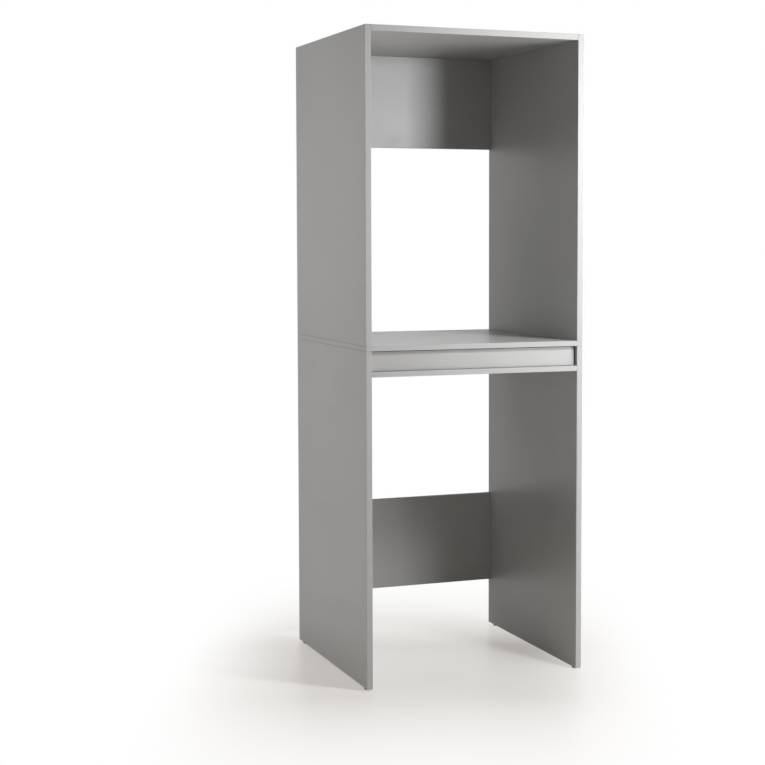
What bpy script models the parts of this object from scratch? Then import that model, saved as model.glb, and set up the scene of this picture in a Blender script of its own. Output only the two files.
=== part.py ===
"""Tall open cabinet that houses a washing machine and carries a dryer above it.

Board construction: two pairs of sides stand one above the other with a full-width board between
them, two rails brace the back, and a shelf pulls out of the low compartment under the middle
board on a pair of ball-bearing telescopic slides. Metres, +Z up, the front faces -Y, and the
origin is on the floor in the middle of the footprint.
"""

import math

import bmesh
import bpy
from mathutils import Matrix, Vector

# Overall size
OVERALL_WIDTH = 0.700
OVERALL_DEPTH = 0.690
OVERALL_HEIGHT = 1.950

# Cabinet boards: the sides, top, rails and pull-out front are thicker than the two boards at the compartment
BOARD = 0.018
SHELF_BOARD = 0.016
EDGE_ROUND = 0.0005
LOWER_SIDE_HEIGHT = 1.000
UPPER_RAIL_HEIGHT = 0.300
LOWER_RAIL_HEIGHT = 0.300
LOWER_RAIL_LEVEL = 0.158
HOUSING_DEPTH = 0.001

# Fits
FIT = 0.0003
CUT_OVERRUN = 0.002
TIP_CLEARANCE = 0.0015
MERGE_DISTANCE = 0.000001

# Glides under the lower sides
GLIDE_RADIUS = 0.009
GLIDE_HEIGHT = 0.004
GLIDE_CHAMFER = 0.0012
GLIDE_PIN_RADIUS = 0.002
GLIDE_PIN_LENGTH = 0.014
GLIDE_FRONT_SETBACK = 0.025
GLIDE_REAR_SETBACK = 0.045

# Pull-out shelf
PULLOUT_BOARD = 0.016
PULLOUT_RECESS = 0.014
PULLOUT_SIDE_GAP = 0.003
PULLOUT_FLOOR_GAP = 0.0005
PULLOUT_TOP_GAP = 0.0024
SHELF_OVER_SLIDE = 0.001
SHELF_BELOW_FRONT = 0.0055
SHELF_BEHIND_SLIDE = 0.034

# Telescopic slides
SLIDE_LENGTH = 0.500
SLIDE_HEIGHT = 0.035
SLIDE_THICKNESS = 0.0127
SLIDE_SHEET = 0.001
SLIDE_SETBACK = 0.026
SLIDE_HOLE_RADIUS = 0.0022
SLIDE_HOLE_SETBACK = 0.035
SLIDE_SLOT_LENGTH = 0.012
SLIDE_SLOT_SHARES = (-0.22, 0.22)
BALL_RADIUS = 0.0015
BALL_PLAY = 0.00025
BALLS_IN_ROW = 5
CAGE_SHEET = 0.0005
CAGE_LENGTH = 0.200

# Cam fixings
CAM_RADIUS = 0.0075
CAM_BASE = 0.0008
CAM_SINK = 0.0003
CAM_SETBACK = 0.034
CAM_RECESS_LENGTH = 0.009
CAM_RECESS_WIDTH = 0.0018
CAM_RECESS_DEPTH = 0.0025
BOLT_THREAD_RADIUS = 0.0025
BOLT_THREAD_LENGTH = 0.011
BOLT_COLLAR_RADIUS = 0.0036
BOLT_COLLAR_LENGTH = 0.0012
BOLT_SHANK_RADIUS = 0.0029
BOLT_NECK_RADIUS = 0.0018
BOLT_NECK_LENGTH = 0.006
BOLT_HEAD_RADIUS = 0.0031
BOLT_HEAD_LENGTH = 0.0026
BOLT_CHANNEL_RADIUS = 0.0042

# Dowels glued into the board ends
DOWEL_RADIUS = 0.004
DOWEL_REACH = 0.011
DOWEL_ROOT = 0.010
DOWEL_TAPER = 0.001

# Screws that hold the middle board to the upper sides
SCREW_LENGTH = 0.050
SCREW_HEAD_RADIUS = 0.005
SCREW_HEAD_HEIGHT = 0.003
SCREW_SHANK_RADIUS = 0.0035
SCREW_THREAD_RADIUS = 0.003
SCREW_TIP_LENGTH = 0.004
SCREW_SOCKET_RADIUS = 0.0022
SCREW_SOCKET_DEPTH = 0.003

# Distances of the fixings from the board edges
TOP_CAM_SETBACK = 0.060
SIDE_CAM_FRONT_SETBACK = 0.048
SIDE_CAM_REAR_SETBACK = 0.075
SCREW_SETBACK = 0.110
FLOOR_DOWEL_SETBACK = 0.060
RAIL_DOWEL_SETBACK = 0.050
UPPER_SIDE_DOWEL_SPACING = 0.240

# Facets round the turned pieces
CAM_FACETS = 12
BOLT_FACETS = 8
DOWEL_FACETS = 8
GLIDE_FACETS = 12
SCREW_FACETS = 10
BALL_FACETS = 8
BALL_RINGS = 5
SOCKET_FACETS = 6
ARC_STEP_DEGREES = 22.5
SMOOTH_UNDER_DEGREES = 35

# Where the boards meet, worked out from the sizes above
FRONT = -OVERALL_DEPTH / 2
REAR = OVERALL_DEPTH / 2
INNER_HALF_WIDTH = OVERALL_WIDTH / 2 - BOARD
SIDE_MIDDLE = OVERALL_WIDTH / 2 - BOARD / 2
SIDE_BASE = GLIDE_HEIGHT + FIT
LOWER_SIDE_TOP = SIDE_BASE + LOWER_SIDE_HEIGHT
MIDDLE_BASE = LOWER_SIDE_TOP + FIT
MIDDLE_TOP = MIDDLE_BASE + SHELF_BOARD
HOUSING_LEVEL = MIDDLE_TOP - HOUSING_DEPTH
UPPER_SIDE_BASE = HOUSING_LEVEL + FIT
TOP_BASE = OVERALL_HEIGHT - BOARD
UPPER_RAIL_TOP = TOP_BASE - FIT

# Levels in the pull-out compartment
PULLOUT_FRONT_HEIGHT = SLIDE_HEIGHT + SHELF_OVER_SLIDE + PULLOUT_BOARD + SHELF_BELOW_FRONT
COMPARTMENT_HEIGHT = PULLOUT_FLOOR_GAP + PULLOUT_FRONT_HEIGHT + PULLOUT_TOP_GAP
FLOOR_TOP = MIDDLE_BASE - COMPARTMENT_HEIGHT
PULLOUT_BASE = FLOOR_TOP + PULLOUT_FLOOR_GAP
SLIDE_AXIS_LEVEL = PULLOUT_BASE + SLIDE_HEIGHT / 2
SHELF_BASE = PULLOUT_BASE + SLIDE_HEIGHT + SHELF_OVER_SLIDE
PULLOUT_FRONT_FACE = FRONT + PULLOUT_RECESS
PULLOUT_FRONT_BACK = PULLOUT_FRONT_FACE + BOARD
SLIDE_FRONT = PULLOUT_FRONT_BACK + SLIDE_SETBACK
SLIDE_MIDDLE = SLIDE_FRONT + SLIDE_LENGTH / 2
SHELF_FRONT = PULLOUT_FRONT_BACK + FIT
SHELF_REAR = SLIDE_FRONT + SLIDE_LENGTH + SHELF_BEHIND_SLIDE
PULLOUT_HALF_WIDTH = INNER_HALF_WIDTH - PULLOUT_SIDE_GAP
BATTEN_OUTER = INNER_HALF_WIDTH - FIT - SLIDE_THICKNESS - FIT
BATTEN_INNER = BATTEN_OUTER - PULLOUT_BOARD

LEFT, RIGHT = -1, 1
TOWARDS_X, TOWARDS_Y, TOWARDS_Z = Vector((1, 0, 0)), Vector((0, 1, 0)), Vector((0, 0, 1))


def clear_scene():
    for obj in list(bpy.data.objects):
        bpy.data.objects.remove(obj, do_unlink=True)


def new_material(name, colour, roughness, metallic=0.0):
    material = bpy.data.materials.new(name)
    material.use_nodes = True
    shader = material.node_tree.nodes["Principled BSDF"]
    shader.inputs["Base Color"].default_value = (*colour, 1.0)
    shader.inputs["Roughness"].default_value = roughness
    shader.inputs["Metallic"].default_value = metallic
    return material


def shade_round(mesh):
    mesh.shade_smooth()
    mesh.set_sharp_from_angle(angle=math.radians(SMOOTH_UNDER_DEGREES))
    return mesh


def mesh_from(body, name):
    mesh = bpy.data.meshes.new(name)
    body.to_mesh(mesh)
    body.free()
    return mesh


def add_object(name, mesh, material=None, place=None):
    obj = bpy.data.objects.new(name, mesh)
    bpy.context.scene.collection.objects.link(obj)
    if material:
        obj.data.materials.clear()
        obj.data.materials.append(material)
    if place:
        obj.matrix_world = place
    return obj


def hidden_tool(name, bodies):
    """One object that only cuts or joins others, made of bodies that don't meet."""
    mesh = bpy.data.meshes.new(name)
    joined = bmesh.new()
    for body in bodies:
        body.to_mesh(mesh)
        joined.from_mesh(mesh)
        body.free()
    joined.to_mesh(mesh)
    joined.free()
    obj = add_object(name, mesh)
    obj.hide_render = True
    obj.display_type = "WIRE"
    return obj


def combine(obj, operation, label, bodies):
    """Cuts the bodies out of the object, or joins them to it."""
    modifier = obj.modifiers.new(label, "BOOLEAN")
    modifier.operation = operation
    modifier.solver = "EXACT"
    modifier.object = hidden_tool(f"{obj.name}_{label}", bodies)


def finished_mesh(obj, name):
    """The object's mesh with its modifiers applied. The object and its tools are removed."""
    bpy.context.view_layer.update()
    evaluated = obj.evaluated_get(bpy.context.evaluated_depsgraph_get())
    mesh = bpy.data.meshes.new_from_object(evaluated)
    mesh.name = name
    for modifier in obj.modifiers:
        bpy.data.objects.remove(modifier.object, do_unlink=True)
    bpy.data.objects.remove(obj, do_unlink=True)
    return shade_round(mesh)


# Bodies

def box(low, high):
    body = bmesh.new()
    low, high = Vector(low), Vector(high)
    size = high - low
    place = Matrix.Translation((low + high) / 2) @ Matrix.Diagonal((*size, 1))
    bmesh.ops.create_cube(body, size=1, matrix=place)
    return body


def rod(radius, start, end, facets, place=Matrix()):
    """A cylinder along the local Z of its place, from start to end."""
    body = bmesh.new()
    middle = Matrix.Translation((0, 0, (start + end) / 2))
    bmesh.ops.create_cone(
        body,
        cap_ends=True,
        segments=facets,
        radius1=radius,
        radius2=radius,
        depth=end - start,
        matrix=place @ middle,
    )
    return body


def turned(profile, facets, place=Matrix()):
    """A body turned about the local Z of its place from (radius, height) points."""
    body = bmesh.new()
    points = [body.verts.new((radius, 0, height)) for radius, height in profile]
    edges = [body.edges.new(pair) for pair in zip(points, points[1:])]
    bmesh.ops.spin(
        body,
        geom=points + edges,
        cent=(0, 0, 0),
        axis=(0, 0, 1),
        angle=math.tau,
        steps=facets,
        use_merge=True,
    )
    bmesh.ops.remove_doubles(body, verts=body.verts, dist=MERGE_DISTANCE)
    bmesh.ops.recalc_face_normals(body, faces=body.faces)
    body.transform(place)
    return body


def drawn_out(outline, length):
    """A body of an outline of (x, z) points, drawn out along Y about its middle."""
    body = bmesh.new()
    face = body.faces.new([body.verts.new((x, -length / 2, z)) for x, z in outline])
    drawn = bmesh.ops.extrude_face_region(body, geom=[face])["geom"]
    moved = [part for part in drawn if isinstance(part, bmesh.types.BMVert)]
    bmesh.ops.translate(body, verts=moved, vec=(0, length, 0))
    bmesh.ops.recalc_face_normals(body, faces=body.faces)
    return body


# Fixings

def joint_frame(point, into_board, face_normal):
    """The place of a fixing: the origin on the panel's face, Z into the board, X out of its face."""
    across = into_board.cross(face_normal)
    turn = Matrix((face_normal, across, into_board)).transposed()
    return Matrix.Translation(point) @ turn.to_4x4()


def cam_height(thickness):
    """From a cam housing's driver face down past the bolt, which lies on the board's middle."""
    return thickness / 2 - CAM_SINK + BOLT_HEAD_RADIUS + FIT + CAM_BASE


def cam_place(thickness):
    turn = Matrix.Rotation(math.radians(90), 4, "Y")
    return Matrix.Translation((thickness / 2 - CAM_SINK, 0, CAM_SETBACK)) @ turn


def cam_mesh(thickness):
    """Cam housing in the frame of its fixing, turned to the place where it holds the bolt's head."""
    bolt_level = thickness / 2 - CAM_SINK
    height = cam_height(thickness)
    body = rod(CAM_RADIUS, -height, 0, CAM_FACETS, cam_place(thickness))
    cam = add_object("cam", mesh_from(body, "cam"))
    chamber_half = BOLT_HEAD_LENGTH / 2 + FIT
    chamber = rod(
        BOLT_HEAD_RADIUS + FIT,
        CAM_SETBACK - chamber_half,
        CAM_SETBACK + chamber_half,
        BOLT_FACETS,
    )
    slot_half = BOLT_NECK_RADIUS + FIT
    slot = box(
        (bolt_level - height - CUT_OVERRUN, -slot_half, CAM_SETBACK - CAM_RADIUS - CUT_OVERRUN),
        (slot_half, slot_half, CAM_SETBACK),
    )
    combine(cam, "DIFFERENCE", "chamber", [chamber])
    combine(cam, "DIFFERENCE", "neck_slot", [slot])
    long_half, short_half = CAM_RECESS_LENGTH / 2, CAM_RECESS_WIDTH / 2
    for label, half_y, half_z in (
        ("recess", long_half, short_half),
        ("cross_recess", short_half, long_half),
    ):
        recess = box(
            (bolt_level - CAM_RECESS_DEPTH, -half_y, CAM_SETBACK - half_z),
            (bolt_level + CUT_OVERRUN, half_y, CAM_SETBACK + half_z),
        )
        combine(cam, "DIFFERENCE", label, [recess])
    return finished_mesh(cam, "cam_housing")


def bolt_mesh():
    """Cam bolt in the frame of its fixing: thread in the panel, head in the cam housing."""
    head_start = CAM_SETBACK - BOLT_HEAD_LENGTH / 2
    head_end = CAM_SETBACK + BOLT_HEAD_LENGTH / 2
    neck_start = head_start - BOLT_NECK_LENGTH
    profile = [
        (0, -BOLT_THREAD_LENGTH),
        (BOLT_THREAD_RADIUS / 2, -BOLT_THREAD_LENGTH),
        (BOLT_THREAD_RADIUS, -BOLT_THREAD_LENGTH + BOLT_THREAD_RADIUS / 2),
        (BOLT_THREAD_RADIUS, FIT),
        (BOLT_COLLAR_RADIUS, FIT),
        (BOLT_COLLAR_RADIUS, FIT + BOLT_COLLAR_LENGTH),
        (BOLT_SHANK_RADIUS, FIT + BOLT_COLLAR_LENGTH),
        (BOLT_SHANK_RADIUS, neck_start - BOLT_SHANK_RADIUS / 2),
        (BOLT_NECK_RADIUS, neck_start),
        (BOLT_NECK_RADIUS, head_start),
        (BOLT_HEAD_RADIUS, head_start),
        (BOLT_HEAD_RADIUS, head_end),
        (0, head_end),
    ]
    return shade_round(mesh_from(turned(profile, BOLT_FACETS), "cam_bolt"))


def screw_mesh():
    """Countersunk screw with a hexagon socket, its head at the origin and its tip along +Z."""
    profile = [
        (0, FIT),
        (SCREW_HEAD_RADIUS, FIT),
        (SCREW_SHANK_RADIUS, FIT + SCREW_HEAD_HEIGHT),
        (SCREW_SHANK_RADIUS, SHELF_BOARD),
        (SCREW_THREAD_RADIUS, SHELF_BOARD + SCREW_SHANK_RADIUS - SCREW_THREAD_RADIUS),
        (SCREW_THREAD_RADIUS, SCREW_LENGTH - SCREW_TIP_LENGTH),
        (SCREW_THREAD_RADIUS / 2, SCREW_LENGTH),
        (0, SCREW_LENGTH),
    ]
    screw = add_object("screw", mesh_from(turned(profile, SCREW_FACETS), "screw"))
    socket = rod(SCREW_SOCKET_RADIUS, -CUT_OVERRUN, FIT + SCREW_SOCKET_DEPTH, SOCKET_FACETS)
    combine(screw, "DIFFERENCE", "socket", [socket])
    return finished_mesh(screw, "panel_screw")


def glide_mesh():
    """Nail-on glide, its sole on the floor and its pin up in the side's lower edge."""
    profile = [
        (0, 0),
        (GLIDE_RADIUS - GLIDE_CHAMFER, 0),
        (GLIDE_RADIUS, GLIDE_CHAMFER),
        (GLIDE_RADIUS, GLIDE_HEIGHT),
        (GLIDE_PIN_RADIUS, GLIDE_HEIGHT),
        (GLIDE_PIN_RADIUS, GLIDE_HEIGHT + GLIDE_PIN_LENGTH - GLIDE_PIN_RADIUS),
        (0, GLIDE_HEIGHT + GLIDE_PIN_LENGTH),
    ]
    return shade_round(mesh_from(turned(profile, GLIDE_FACETS), "glide"))


class Board:
    """A rectangular board, with the holes and dowels that its fixings ask for."""

    def __init__(self, name, low, high, material, thickness=BOARD):
        self.thickness = thickness
        middle = (Vector(low) + Vector(high)) / 2
        body = box(Vector(low) - middle, Vector(high) - middle)
        self.object = add_object(name, mesh_from(body, name), material, Matrix.Translation(middle))
        rounding = self.object.modifiers.new("edge_round", "BEVEL")
        rounding.width = EDGE_ROUND
        rounding.segments = 1
        rounding.limit_method = "NONE"
        self.housings = []
        self.holes = []
        self.channels = []
        self.dowels = []

    def finish(self):
        """Cuts what was asked for. A cut that runs into an earlier one is a modifier of its own."""
        if self.housings:
            combine(self.object, "DIFFERENCE", "housings", self.housings)
        if self.holes:
            combine(self.object, "DIFFERENCE", "holes", self.holes)
        if self.channels:
            combine(self.object, "DIFFERENCE", "channels", self.channels)
        if self.dowels:
            combine(self.object, "UNION", "dowels", self.dowels)


def add_cam_fixing(name, panel, board, frame, meshes, material):
    """A bolt screwed into the panel and a cam housing in the board whose end meets the panel."""
    tip = BOLT_THREAD_LENGTH + TIP_CLEARANCE
    panel.holes.append(rod(BOLT_THREAD_RADIUS + FIT, -tip, CUT_OVERRUN, BOLT_FACETS, frame))
    bore_depth = cam_height(board.thickness) + FIT
    bore_place = frame @ cam_place(board.thickness)
    board.holes.append(rod(CAM_RADIUS + FIT, -bore_depth, CUT_OVERRUN, CAM_FACETS, bore_place))
    channel_end = CAM_SETBACK - CAM_RADIUS / 2
    board.channels.append(rod(BOLT_CHANNEL_RADIUS, -CUT_OVERRUN, channel_end, BOLT_FACETS, frame))
    add_object(f"{name}_cam", meshes["cam"][board.thickness], material, frame)
    add_object(f"{name}_cam_bolt", meshes["bolt"], material, frame)


def add_dowel(panel, board, frame):
    """A dowel glued into the board's end, standing in a hole in the panel."""
    tip = DOWEL_REACH + TIP_CLEARANCE
    panel.holes.append(rod(DOWEL_RADIUS + FIT, -tip, CUT_OVERRUN, DOWEL_FACETS, frame))
    profile = [
        (0, -DOWEL_REACH),
        (DOWEL_RADIUS - DOWEL_TAPER, -DOWEL_REACH),
        (DOWEL_RADIUS, -DOWEL_REACH + DOWEL_TAPER),
        (DOWEL_RADIUS, DOWEL_ROOT),
        (0, DOWEL_ROOT),
    ]
    board.dowels.append(turned(profile, DOWEL_FACETS, frame))


# Cabinet

def add_boards(material):
    """The nine boards of the cabinet, keyed by name."""
    outer, inner = OVERALL_WIDTH / 2, INNER_HALF_WIDTH
    between = inner - FIT
    rail_front = REAR - BOARD
    boards = {}

    def add(name, low, high, thickness=BOARD):
        boards[name] = Board(name, low, high, material, thickness)

    for side, word in ((LEFT, "left"), (RIGHT, "right")):
        low_x, high_x = sorted((side * inner, side * outer))
        add(f"{word}_lower_side", (low_x, FRONT, SIDE_BASE), (high_x, REAR, LOWER_SIDE_TOP))
        add(f"{word}_upper_side", (low_x, FRONT, UPPER_SIDE_BASE), (high_x, REAR, OVERALL_HEIGHT))
    add("middle_board", (-outer, FRONT, MIDDLE_BASE), (outer, REAR, MIDDLE_TOP), SHELF_BOARD)
    floor_low, floor_high = (-between, FRONT, FLOOR_TOP - SHELF_BOARD), (between, REAR, FLOOR_TOP)
    add("compartment_floor", floor_low, floor_high, SHELF_BOARD)
    add("top_board", (-between, FRONT, TOP_BASE), (between, REAR, OVERALL_HEIGHT))
    upper_rail_base = UPPER_RAIL_TOP - UPPER_RAIL_HEIGHT
    add("upper_back_rail", (-between, rail_front, upper_rail_base), (between, REAR, UPPER_RAIL_TOP))
    lower_rail_top = LOWER_RAIL_LEVEL + LOWER_RAIL_HEIGHT
    add("lower_back_rail", (-between, rail_front, LOWER_RAIL_LEVEL), (between, REAR, lower_rail_top))
    return boards


def fix_between_sides(boards, board, panel_kind, place, material, meshes):
    """Fixes one board between the sides. The place gives its cams, its dowels and its cam face."""
    for side, word in ((LEFT, "left"), (RIGHT, "right")):
        panel = boards[f"{word}_{panel_kind}"]
        for label, y, z in place["cams"]:
            frame = joint_frame((side * INNER_HALF_WIDTH, y, z), -side * TOWARDS_X, place["face"])
            add_cam_fixing(f"{label}_{word}", panel, boards[board], frame, meshes, material)
        for y, z in place["dowels"]:
            frame = joint_frame((side * INNER_HALF_WIDTH, y, z), -side * TOWARDS_X, place["face"])
            add_dowel(panel, boards[board], frame)


def fix_boards_between_sides(boards, material, meshes):
    top_middle = OVERALL_HEIGHT - BOARD / 2
    floor_middle = FLOOR_TOP - SHELF_BOARD / 2
    rail_middle = REAR - BOARD / 2
    fix_between_sides(boards, "top_board", "upper_side", {
        "face": TOWARDS_Z,
        "cams": [
            ("top_front", FRONT + TOP_CAM_SETBACK, top_middle),
            ("top_rear", REAR - TOP_CAM_SETBACK, top_middle),
        ],
        "dowels": [(0, top_middle)],
    }, material, meshes)
    fix_between_sides(boards, "compartment_floor", "lower_side", {
        "face": -TOWARDS_Z,
        "cams": [("floor", 0, floor_middle)],
        "dowels": [
            (FRONT + FLOOR_DOWEL_SETBACK, floor_middle),
            (REAR - FLOOR_DOWEL_SETBACK, floor_middle),
        ],
    }, material, meshes)
    for kind, top, height in (
        ("upper", UPPER_RAIL_TOP, UPPER_RAIL_HEIGHT),
        ("lower", LOWER_RAIL_LEVEL + LOWER_RAIL_HEIGHT, LOWER_RAIL_HEIGHT),
    ):
        base = top - height
        fix_between_sides(boards, f"{kind}_back_rail", f"{kind}_side", {
            "face": TOWARDS_Y,
            "cams": [(f"{kind}_rail", rail_middle, (base + top) / 2)],
            "dowels": [
                (rail_middle, top - RAIL_DOWEL_SETBACK),
                (rail_middle, base + RAIL_DOWEL_SETBACK),
            ],
        }, material, meshes)


def house_upper_sides(middle_board):
    """Shallow housings along the board's ends, in which the upper sides stand."""
    for side in (LEFT, RIGHT):
        inner, outer = INNER_HALF_WIDTH - FIT, OVERALL_WIDTH / 2 + CUT_OVERRUN
        low_x, high_x = sorted((side * inner, side * outer))
        low = (low_x, FRONT - CUT_OVERRUN, HOUSING_LEVEL)
        high = (high_x, REAR + CUT_OVERRUN, MIDDLE_TOP + CUT_OVERRUN)
        middle_board.housings.append(box(low, high))


def fix_sides_to_middle_board(boards, material, meshes):
    """Cams hold the lower sides from inside the compartment, and screws hold the upper sides."""
    middle_board = boards["middle_board"]
    house_upper_sides(middle_board)
    for side, word in ((LEFT, "left"), (RIGHT, "right")):
        lower, upper = boards[f"{word}_lower_side"], boards[f"{word}_upper_side"]
        inward = -side * TOWARDS_X
        x = side * SIDE_MIDDLE
        for label, y in (
            ("side_front", FRONT + SIDE_CAM_FRONT_SETBACK),
            ("side_rear", REAR - SIDE_CAM_REAR_SETBACK),
        ):
            frame = joint_frame((x, y, MIDDLE_BASE), -TOWARDS_Z, inward)
            add_cam_fixing(f"{label}_{word}", middle_board, lower, frame, meshes, material)
        add_dowel(middle_board, lower, joint_frame((x, 0, MIDDLE_BASE), -TOWARDS_Z, inward))
        for end in (-1, 1):
            y = end * UPPER_SIDE_DOWEL_SPACING / 2
            add_dowel(middle_board, upper, joint_frame((x, y, HOUSING_LEVEL), TOWARDS_Z, inward))
        for label, y in (("front", FRONT + SCREW_SETBACK), ("rear", REAR - SCREW_SETBACK)):
            add_panel_screw(f"{label}_{word}_panel_screw", (x, y), middle_board, upper, meshes, material)


def add_panel_screw(name, point, middle_board, side, meshes, material):
    """A screw driven up through the middle board into the lower end of an upper side."""
    place = Matrix.Translation((*point, MIDDLE_BASE))
    clearance = [
        (0, -CUT_OVERRUN),
        (SCREW_HEAD_RADIUS + FIT, -CUT_OVERRUN),
        (SCREW_HEAD_RADIUS + FIT, FIT),
        (SCREW_SHANK_RADIUS + FIT, FIT + SCREW_HEAD_HEIGHT),
        (SCREW_SHANK_RADIUS + FIT, SHELF_BOARD + CUT_OVERRUN),
        (0, SHELF_BOARD + CUT_OVERRUN),
    ]
    middle_board.holes.append(turned(clearance, SCREW_FACETS, place))
    pilot_radius = SCREW_SHANK_RADIUS + FIT
    pilot_end = SCREW_LENGTH + TIP_CLEARANCE
    side.holes.append(rod(pilot_radius, SHELF_BOARD - CUT_OVERRUN, pilot_end, SCREW_FACETS, place))
    add_object(name, meshes["screw"], material, place)


def add_glides(boards, mesh, material):
    for side, word in ((LEFT, "left"), (RIGHT, "right")):
        for label, y in (("front", FRONT + GLIDE_FRONT_SETBACK), ("rear", REAR - GLIDE_REAR_SETBACK)):
            place = Matrix.Translation((side * SIDE_MIDDLE, y, 0))
            add_object(f"{label}_{word}_glide", mesh, material, place)
            pin_end = GLIDE_HEIGHT + GLIDE_PIN_LENGTH + TIP_CLEARANCE
            pin_start = GLIDE_HEIGHT - CUT_OVERRUN
            hole = rod(GLIDE_PIN_RADIUS + FIT, pin_start, pin_end, GLIDE_FACETS, place)
            boards[f"{word}_lower_side"].holes.append(hole)


# Telescopic slides. A section is drawn with u from the cabinet's side inwards and v up.

RACE = BALL_RADIUS + BALL_PLAY + SLIDE_SHEET / 2
OUTER_BALL_U = SLIDE_SHEET / 2 + RACE
OUTER_BALL_V = SLIDE_HEIGHT / 2 - SLIDE_SHEET / 2 - RACE
RACE_TURN_DEGREES = 45
INNER_BALL_U = OUTER_BALL_U + 2 * RACE * math.cos(math.radians(RACE_TURN_DEGREES))
INNER_BALL_V = OUTER_BALL_V - 2 * RACE * math.sin(math.radians(RACE_TURN_DEGREES))
SHELF_WEB_U = SLIDE_THICKNESS - SLIDE_SHEET / 2
SHELF_CURL_DEGREES = 120
CAGE_LIP_SHARE = 0.4


def arc(u, v, start, end):
    """Points at the race's radius round a ball's centre, from one angle to another in degrees."""
    steps = max(1, round(abs(end - start) / ARC_STEP_DEGREES))
    angles = [math.radians(start + (end - start) * step / steps) for step in range(steps + 1)]
    return [(u + RACE * math.cos(angle), v + RACE * math.sin(angle)) for angle in angles]


def sheet_outline(upper_half, thickness):
    """Outline of a bent sheet whose middle line is the upper half and its mirror image below."""
    path = [Vector((u, -v)) for u, v in reversed(upper_half)] + [Vector(point) for point in upper_half]
    left, right = [], []
    for index, point in enumerate(path):
        before = path[index] - path[index - 1] if index else path[1] - path[0]
        after = path[index + 1] - point if index + 1 < len(path) else before
        normals = [Vector((-run.y, run.x)).normalized() for run in (before, after)]
        mitre = (normals[0] + normals[1]).normalized()
        reach = thickness / 2 / mitre.dot(normals[0])
        left.append(point + mitre * reach)
        right.append(point - mitre * reach)
    return left + right[::-1]


def slide_sections():
    """Middle lines of the upper halves of the slide's sheets."""
    crossing = arc(OUTER_BALL_U, OUTER_BALL_V, -90, -RACE_TURN_DEGREES)
    over_inner_ball = arc(INNER_BALL_U, INNER_BALL_V, 180 - RACE_TURN_DEGREES, 0)
    under_inner_ball = arc(INNER_BALL_U, INNER_BALL_V, -90, -SHELF_CURL_DEGREES)
    curl_reach = (RACE + SLIDE_SHEET / 2) * math.cos(math.radians(180 - SHELF_CURL_DEGREES))
    cage_web_u = (OUTER_BALL_U + SLIDE_SHEET / 2 + INNER_BALL_U - curl_reach) / 2
    lip = CAGE_LIP_SHARE * BALL_RADIUS
    return {
        "cabinet_member": arc(OUTER_BALL_U, OUTER_BALL_V, 180, 0),
        "middle_member": crossing + over_inner_ball[1:],
        "shelf_member": [(SHELF_WEB_U, INNER_BALL_V - RACE)] + under_inner_ball,
        "outer_cage": [((OUTER_BALL_U + SLIDE_SHEET / 2) / 2, OUTER_BALL_V + lip)],
        "inner_cage": [(cage_web_u, INNER_BALL_V), (INNER_BALL_U - lip, INNER_BALL_V)],
    }


def slide_body(section, thickness, length):
    outline = sheet_outline(section, thickness)
    return drawn_out([(-u, v) for u, v in outline], length)


def across_the_web(u, y, radius, facets):
    """A short rod that pierces a web at the given place."""
    turn = Matrix.Rotation(math.radians(90), 4, "Y")
    reach = SLIDE_SHEET / 2 + CUT_OVERRUN / 2
    return rod(radius, -reach, reach, facets, Matrix.Translation((-u, y, 0)) @ turn)


def member_mesh(name, section, web_u, slots):
    """A member of a slide, with round screw holes near its ends and slots between them."""
    body = slide_body(section, SLIDE_SHEET, SLIDE_LENGTH)
    member = add_object(name, mesh_from(body, name))
    hole_y = SLIDE_LENGTH / 2 - SLIDE_HOLE_SETBACK
    holes = [across_the_web(web_u, end * hole_y, SLIDE_HOLE_RADIUS, BOLT_FACETS) for end in (-1, 1)]
    reach = SLIDE_SHEET / 2 + CUT_OVERRUN / 2
    for y in slots:
        low = (-web_u - reach, y - SLIDE_SLOT_LENGTH / 2, -SLIDE_HOLE_RADIUS)
        high = (-web_u + reach, y + SLIDE_SLOT_LENGTH / 2, SLIDE_HOLE_RADIUS)
        holes.append(box(low, high))
    combine(member, "DIFFERENCE", "screw_holes", holes)
    return finished_mesh(member, name)


def cage_mesh(name, section, ball_u, ball_v):
    """A ball cage: a thin strip that carries a row of balls along each of its edges."""
    cage = add_object(name, mesh_from(slide_body(section, CAGE_SHEET, CAGE_LENGTH), name))
    pitch = CAGE_LENGTH / BALLS_IN_ROW
    balls = []
    for row in (-1, 1):
        for count in range(BALLS_IN_ROW):
            y = (count - (BALLS_IN_ROW - 1) / 2) * pitch
            ball = bmesh.new()
            place = Matrix.Translation((-ball_u, y, row * ball_v))
            bmesh.ops.create_uvsphere(
                ball, u_segments=BALL_FACETS, v_segments=BALL_RINGS, radius=BALL_RADIUS, matrix=place
            )
            balls.append(ball)
    combine(cage, "UNION", "balls", balls)
    return finished_mesh(cage, name)


def slide_meshes():
    sections = slide_sections()
    slots = [share * SLIDE_LENGTH for share in SLIDE_SLOT_SHARES]
    return {
        "cabinet_member": member_mesh(
            "cabinet_member", sections["cabinet_member"], SLIDE_SHEET / 2, slots
        ),
        "outer_cage": cage_mesh("outer_cage", sections["outer_cage"], OUTER_BALL_U, OUTER_BALL_V),
        "middle_member": member_mesh("middle_member", sections["middle_member"], OUTER_BALL_U, slots),
        "inner_cage": cage_mesh("inner_cage", sections["inner_cage"], INNER_BALL_U, INNER_BALL_V),
        "shelf_member": member_mesh("shelf_member", sections["shelf_member"], SHELF_WEB_U, slots),
    }


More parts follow.
